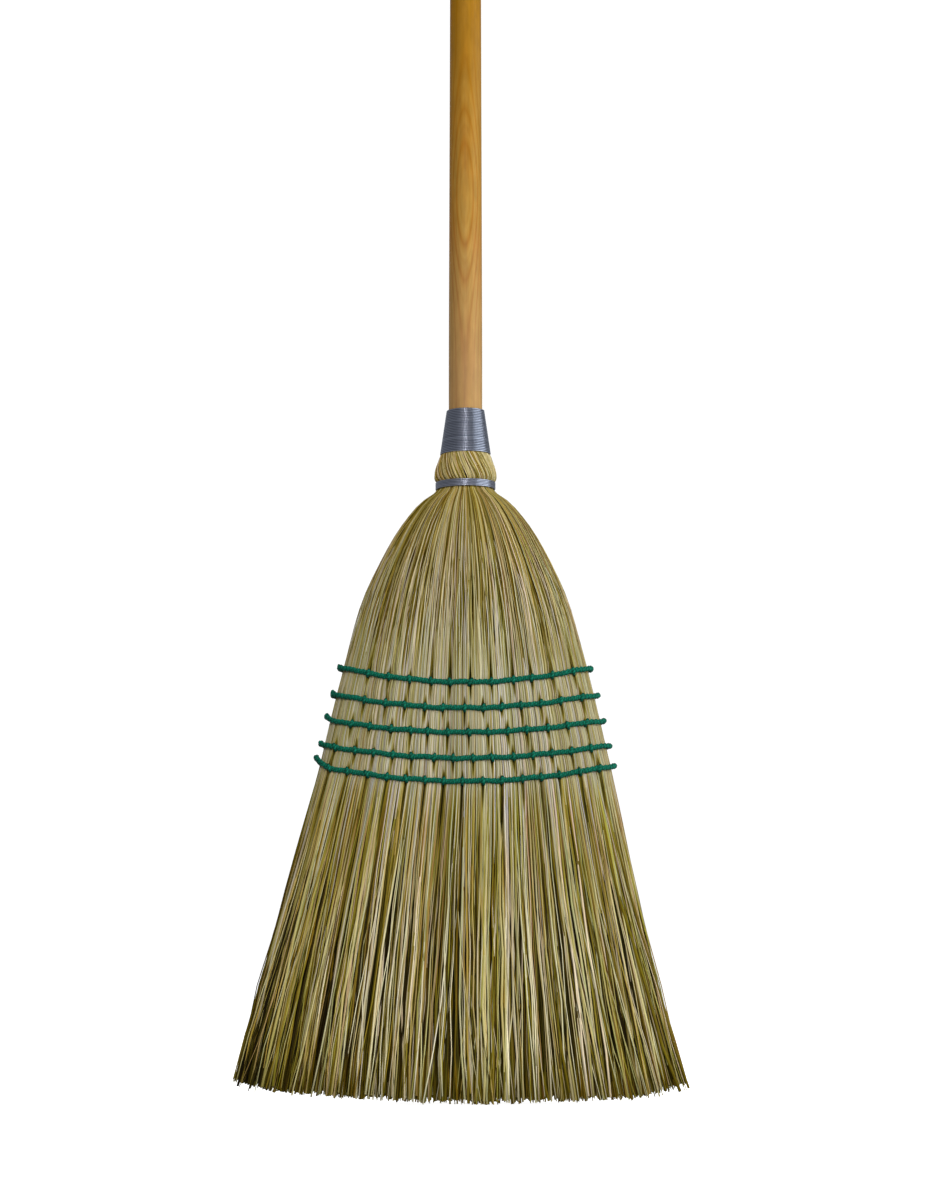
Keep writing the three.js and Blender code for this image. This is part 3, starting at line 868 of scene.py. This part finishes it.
def straws(name, material, across, side, layer, emerge, width, stations, sides, stray, light):
    """A piece made of loose straws that run from the neck to the tips.
    across and side say where round the head each straw lies, layer how deep, emerge how high
    it comes to the surface, stray how far its tip strays sideways, and light how bright it is."""
    share = width_share(across)
    centres, slit_light = straw_centres(across, side, layer, emerge, width, stations, stray)
    z = centres[:, :, 2]
    radii = straw_radii(share, z, width)
    shade = straw_shades(share, z, layer, light, slit_light)
    return tube_mesh(name, centres, radii, sides, (0, 1, 0), material,
                     tone=tones(len(across)), shade=shade)


# How common wide, middling and thin straws are, and the least and greatest radius of each.
WIDTH_SHARES = [0.2, 0.4, 0.4]
WIDTH_LOW = np.array([0.82, 0.52, 0.32])
WIDTH_HIGH = np.array([1.15, 0.76, 0.46])
SHORT_SHARE = 0.06


def straw_widths(count):
    """Radii of a mix of wide, middling and thin straws."""
    kind = rng.choice(len(WIDTH_SHARES), count, p=WIDTH_SHARES)
    return rng.uniform(WIDTH_LOW[kind], WIDTH_HIGH[kind])


def tip_lifts(count):
    """How far each tip stops short of the trimmed line."""
    lift = np.abs(rng.normal(0, 2.3, count)) + 0.1
    short = rng.random(count) < SHORT_SHARE
    return np.where(short, lift + rng.uniform(3, 24, count), lift)


# Straws in each bundle. The outer ones are a multiple of the number of outer layers.
OUTER_PER_BUNDLE = 126
DEEP_PER_BUNDLE = 72
HAIRS_PER_BUNDLE = 12
STRAW_SIDES = 5
HAIR_SIDES = 4
# Outer straws: the light of each layer, and of the bright ones among the outermost, and the
# heights between which those that aren't always at the surface come up to it.
LAYER_DIMMEST = np.array([0.35, 0.2, 0.08])
LAYER_BRIGHTEST = np.array([1.05, 0.7, 0.3])
BRIGHT_SHARE = 0.55
BRIGHT_LIGHT = (1.02, 1.45)
SURFACE_SHARE = 0.38
SIDE_STRAWS = 0.93
OUTER_EMERGE = (325, 462)
# Deep straws and hairs: the ranges of their depth, of their light and of where they come up.
DEEP_RANGES = [(4.5, 10), (0.05, 0.24), (340, 470)]
HAIR_RANGES = [(-0.4, 0.6), (0.9, 1.5), (300, 440)]
HAIR_WIDTH = (0.26, 0.42)
# How far tips stray sideways: most outer straws, the straying share of them, deep straws and
# hairs, and the room that they have beyond the outline, which is more for a few at the left.
NEAT_STRAY = 1.2
FAR_SPREAD = 10.0
STRAY_SHARE = 0.3
DEEP_STRAY = 4
OUTWARD_STRAY = 2
FAR_STRAY = 8
FAR_STRAY_SHARE = 0.07
FAR_STRAY_LIGHT = 1.3


def evenly_layered(count):
    """A layer for each straw, so that each few neighbours have one straw in every layer."""
    groups = np.tile(np.arange(len(OUTER_LAYERS)), (count // len(OUTER_LAYERS), 1))
    return rng.permuted(groups, axis=1).ravel()


def outer_straws(across):
    """Layer, light, emerging height, radius and stray of the straws that show."""
    count = len(across)
    kept = evenly_layered(count)
    light = rng.uniform(LAYER_DIMMEST[kept], LAYER_BRIGHTEST[kept])
    light = np.where((kept == 0) & (rng.random(count) < BRIGHT_SHARE),
                     rng.uniform(*BRIGHT_LIGHT, count), light)
    always = (rng.random(count) < SURFACE_SHARE) | (np.abs(across) > SIDE_STRAWS)
    emerge = np.where(always, ALWAYS_OUT, rng.uniform(*OUTER_EMERGE, count))
    width = straw_widths(count)
    stray = rng.normal(0, np.where(rng.random(count) < STRAY_SHARE, FAR_SPREAD, NEAT_STRAY))
    return np.array(OUTER_LAYERS)[kept], light, emerge, width, stray


def deep_straws(across):
    """The same for the dark straws that show between the outer ones."""
    count = len(across)
    return (*(rng.uniform(*ends, count) for ends in DEEP_RANGES), straw_widths(count),
            rng.normal(0, DEEP_STRAY, count))


def hairs(across):
    """The same for thin straws that cross over the others."""
    count = len(across)
    return (*(rng.uniform(*ends, count) for ends in HAIR_RANGES),
            rng.uniform(*HAIR_WIDTH, count), rng.normal(0, FAR_SPREAD, count))


COVER_KINDS = [
    ("outer", OUTER_PER_BUNDLE, outer_straws, FINE_STATIONS, STRAW_SIDES),
    ("deep", DEEP_PER_BUNDLE, deep_straws, COARSE_STATIONS, STRAW_SIDES),
    ("hair", HAIRS_PER_BUNDLE, hairs, FINE_STATIONS, HAIR_SIDES),
]


def cover_bundle(face, side, index):
    """One bundle of cover straw: outer straws, deeper ones, and thin crossing hairs."""
    start = -1 + 2 * index / BUNDLES_PER_FACE
    name = f"{face}_straw_{index + 1:02d}"
    pieces = []
    for kind, count, drawn, stations, sides in COVER_KINDS:
        even = (np.arange(count) + rng.uniform(0.1, 0.9, count)) / count
        across = start + 2 / BUNDLES_PER_FACE * even
        layer, light, emerge, width, stray = drawn(across)
        share = width_share(across)
        far = (rng.random(count) < FAR_STRAY_SHARE) & (share < 0)
        light = np.where(far, np.maximum(light, FAR_STRAY_LIGHT), light)
        room = (1 - np.abs(share)) * HALF_WIDTH[0][1] + OUTWARD_STRAY + FAR_STRAY * far
        stray = np.minimum(stray * np.sign(share), room) * np.sign(share)
        pieces.append(straws(f"{name}_{kind}", COVER_STRAW, across, np.full(count, side),
                             layer, emerge, width, stations, sides, stray, light))
    return join(name, pieces)


def join(name, pieces):
    """The pieces made into the first of them, which gets a new name."""
    bpy.ops.object.select_all(action="DESELECT")
    for piece in pieces:
        piece.select_set(True)
    bpy.context.view_layer.objects.active = pieces[0]
    bpy.ops.object.join()
    pieces[0].name = name
    return pieces[0]


for face, side in (("front", -1), ("back", 1)):
    for index in range(BUNDLES_PER_FACE):
        place(cover_bundle(face, side, index), "cover_straw", f"{face}_hurl_{index + 1:02d}")

CORE_STRAWS = 420
SHOULDER_STRAWS = 520
INNER_LAYER = (8.5, 24)
INNER_LIGHT = (0.05, 0.3)
INNER_SIDES = 4


def inner_bundle(name, start, end, count):
    """Straws that fill the head inside the cover, between two places across it."""
    across = rng.uniform(start, end, count)
    side = rng.choice([-1.0, 1.0], count)
    layer = rng.uniform(*INNER_LAYER, count)
    width = straw_widths(count)
    stray = rng.normal(0, DEEP_STRAY, count) * (1 - width_share(across) ** 4)
    light = rng.uniform(*INNER_LIGHT, count)
    return straws(name, INNER_STRAW, across, side, layer, np.full(count, ALWAYS_OUT), width,
                  COARSE_STATIONS, INNER_SIDES, stray, light)


place(inner_bundle("core_straw", -CORE_SHARE, CORE_SHARE, CORE_STRAWS),
      "inner_straw", "core_bundle")
place(inner_bundle("left_shoulder_straw", -1, -CORE_SHARE, SHOULDER_STRAWS),
      "inner_straw", "left_shoulder_bundle")
place(inner_bundle("right_shoulder_straw", CORE_SHARE, 1, SHOULDER_STRAWS),
      "inner_straw", "right_shoulder_bundle")

# ---- twine

STRAND = 1.06
STRAND_OFFSET = 1.06
STRANDS = 3
TWINE_SIDES = 8
STRAND_TONES = (0.53, 0.72)
STRAND_UNEVENNESS = 0.09
TWIST_PITCH = 11
BAND_STEP = 1.1
# Each band's slow waves: their length and height.
TWINE_WAVES = [[41, 0.3], [17, 0.2]]
# How far the band's centre line stands off the straw, on the faces and at the two sides.
BAND_STAND = 0.9
END_STAND = 2.6
# How far each row's left end turns up, from which share of the half width, and how much
# higher its last stretch lies, to cross over the start.
HOOKS = [0.3, 0.2, 1.6, 0.5, 3.6]
HOOK_SHARE = 0.93
LAST_STRETCH = 6
LAST_LIFT = 1.4


def band_point(row, turn):
    """Where the twine's centre line lies at an angle round the head, from the left side."""
    share = -np.cos(turn)
    z = row_height(row, share)
    stand = BAND_STAND + (END_STAND - BAND_STAND) * share ** 6
    side = np.where(np.sin(turn) > 0, -1, 1)
    x = share * (half_width(z) + stand)
    y = side * (half_thickness(z) + stand - PULL) * depth_share(share, z)
    return np.stack([x, y, z], axis=-1)


def evenly(path, step):
    """The same path with points at an even spacing, and the distance along it to each."""
    length = np.concatenate([[0], np.linalg.norm(np.diff(path, axis=0), axis=1).cumsum()])
    at = np.linspace(0, length[-1], int(length[-1] / step))
    return np.stack([np.interp(at, length, path[:, i]) for i in range(3)], axis=1), at


def band_strands(row, hook):
    """Three strands twisted together once round the head, overlapping at the left."""
    turn = np.linspace(-0.02, 2 * math.pi + 0.05, 4000)
    path, length = evenly(band_point(row, turn), BAND_STEP)
    left = np.clip((-path[:, 0] / half_width(path[:, 2]) - HOOK_SHARE) / (1 - HOOK_SHARE), 0, 1.3)
    path[:, 2] += hook * left ** 1.6
    path[:, 2] += LAST_LIFT * smoothstep(length[-1] - LAST_STRETCH, length[-1], length)
    for wave, height in TWINE_WAVES:
        path[:, 2] += height * np.sin(2 * math.pi * length / wave + rng.uniform(0, 2 * math.pi))
    tangent = np.gradient(path, axis=0)
    tangent /= np.linalg.norm(tangent, axis=1, keepdims=True)
    out = np.cross(tangent, (0, 0, 1))
    out /= np.linalg.norm(out, axis=1, keepdims=True)
    up = np.cross(out, tangent)
    strands = []
    for strand in range(STRANDS):
        angle = 2 * math.pi * (length / TWIST_PITCH + strand / STRANDS)
        strands.append(path + STRAND_OFFSET * (out * np.cos(angle)[:, None]
                                               + up * np.sin(angle)[:, None]))
    return np.stack(strands)


# A stitch's loop goes out over the band and back in above and below it. Its ends, past where
# it is SINK_FROM out, go steeply into the straw.
STITCH_RADIUS = 1.2
STITCH_OUT = 2.6
STITCH_UP = 2.3
STITCH_SLANT = 0.5
STITCH_TONES = (0.5, 0.9)
SINK_FROM = 0.4
STITCH_BEND = np.linspace(-1.12, 1.12, 18) * math.pi / 2


def stitch_loops(index):
    """Each stitch's loop over the band, on both faces, ending inside the straw."""
    row = ROWS[index]
    local = np.random.default_rng(LOOP_SEED + index)
    loops = []
    for side in (-1, 1):
        for x in STITCHES[index]:
            share = x / half_width(row["middle"])
            z = row_height(row, share)
            surface = (half_thickness(z) - PULL) * depth_share(share, z)
            lift = STITCH_OUT * np.cos(STITCH_BEND)
            lift = np.where(lift < SINK_FROM, lift * 6 - 2.0, lift)
            y = side * (surface + lift)
            slant = local.normal(0, STITCH_SLANT)
            loops.append(np.stack([x + slant * np.sin(STITCH_BEND), y,
                                   z + STITCH_UP * np.sin(STITCH_BEND)], axis=1))
    return np.stack(loops)


def twine_row(index):
    """A row's band and its stitches, in one piece."""
    strands = band_strands(ROWS[index], HOOKS[index])
    radii = STRAND * (1 + STRAND_UNEVENNESS * rng.normal(0, 1, strands.shape[:2]))
    band = tube_mesh(f"band_{index}", strands, radii, TWINE_SIDES, (0, 0, 1), TWINE_FIBRE,
                     tone=np.linspace(*STRAND_TONES, STRANDS))
    loops = stitch_loops(index)
    # Painted shade: each stitch is darker toward its ends, where it goes into the straw, and
    # lightest at its crown.
    painted_light_at_crown = np.cos(STITCH_BEND)[None] ** 2
    tone = painted_light_at_crown * rng.uniform(*STITCH_TONES, len(loops))[:, None]
    radii = np.full(loops.shape[:2], STITCH_RADIUS)
    stitches = tube_mesh(f"stitches_{index}", loops, radii, TWINE_SIDES, (1, 0, 0), TWINE_FIBRE,
                         tone=tone)
    return join(f"twine_row_{index + 1}", [band, stitches])


for index in range(len(ROWS)):
    place(twine_row(index), "sewing_twine", f"stitch_row_{index + 1}")

# ---- floor, light and camera

WHITE = (1, 1, 1, 1)
FLOOR_HALF = 30
FLOOR_COLOUR = (0.8, 0.8, 0.8, 1)
FLOOR_GLOW = 0.96
BACKDROP_LIGHT = 1.05
SKY_COLOUR = (0.86, 0.93, 1, 1)
SKY_LIGHT = 0.33
CAMERA_PLACE = (0.0034, -2.2, 0.1002)
CAMERA_TILT = math.radians(97.1)
LENS_MM = 89.5
SENSOR_MM = 36


def floor():
    """A white floor that is seen and shadowed, but lights nothing."""
    mesh = bpy.data.meshes.new("studio_floor")
    corners = [(x * FLOOR_HALF, y * FLOOR_HALF, 0)
               for x, y in ((-1, -1), (1, -1), (1, 1), (-1, 1))]
    mesh.from_pydata(corners, [], [(0, 1, 2, 3)])
    s = Shader("pale_floor", Roughness=0.9, Specular_IOR_Level=0.1, Base_Color=FLOOR_COLOUR,
               Emission_Color=WHITE, Emission_Strength=FLOOR_GLOW)
    mesh.materials.append(s.material)
    thing = link("studio_floor", mesh)
    thing.visible_diffuse = False
    thing.visible_glossy = False


def aim(thing, target):
    thing.rotation_euler = (Vector(target) - thing.location).to_track_quat("-Z", "Y").to_euler()


def soft_light(name, location, target, size, power, colour, sheen=False):
    """A rectangular light. One for sheen is only reflected, and the others only light."""
    lamp = bpy.data.lights.new(name, "AREA")
    lamp.shape = "RECTANGLE"
    lamp.size, lamp.size_y = size
    lamp.energy = power
    lamp.color = colour
    thing = link(name, lamp)
    thing.location = location
    thing.visible_camera = False
    thing.visible_diffuse = not sheen
    thing.visible_glossy = sheen
    aim(thing, target)


def world():
    """White to the camera, and a dim blue sky to everything else."""
    sky = bpy.data.worlds.new("studio")
    bpy.context.scene.world = sky
    sky.use_nodes = True
    tree = sky.node_tree
    seen, cast = tree.nodes.new("ShaderNodeBackground"), tree.nodes["Background"]
    for background, colour, light in ((seen, WHITE, BACKDROP_LIGHT), (cast, SKY_COLOUR, SKY_LIGHT)):
        background.inputs[0].default_value = colour
        background.inputs[1].default_value = light
    path = tree.nodes.new("ShaderNodeLightPath")
    mix = tree.nodes.new("ShaderNodeMixShader")
    tree.links.new(path.outputs["Is Camera Ray"], mix.inputs[0])
    tree.links.new(cast.outputs[0], mix.inputs[1])
    tree.links.new(seen.outputs[0], mix.inputs[2])
    tree.links.new(mix.outputs[0], tree.nodes["World Output"].inputs[0])


def camera():
    lens = bpy.data.cameras.new("camera")
    lens.lens = LENS_MM
    lens.sensor_width = SENSOR_MM
    thing = link("camera", lens)
    thing.location = CAMERA_PLACE
    thing.rotation_euler = (CAMERA_TILT, 0, 0)
    bpy.context.scene.camera = thing


floor()
world()
soft_light("key", (1.75, -0.95, 0.9), (0, 0, 0.4), (1.1, 1.6), 34, (0.92, 0.97, 1))
soft_light("front", (0.1, -2.6, 1.2), (0, 0, 0.25), (1.2, 1.1), 42, (1, 0.99, 0.96))
soft_light("back", (-0.9, 1.9, 1.2), (0, 0, 0.4), (1.2, 1.4), 26, (1, 1, 1))
soft_light("side_sheen", (1.9, -0.55, 0.6), (0, 0, 0.48), (2.2, 2.0), 38, (0.86, 0.95, 1),
           sheen=True)
soft_light("front_sheen", (-0.1, -2.5, 0.9), (0, 0, 0.48), (3.2, 1.5), 12, (0.95, 0.97, 1),
           sheen=True)
soft_light("strip", (0.0, -2.5, 0.75), (0, 0, 0.48), (0.3, 1.2), 16, (1, 1, 1), sheen=True)
camera()

bpy.context.scene.view_settings.view_transform = "Standard"
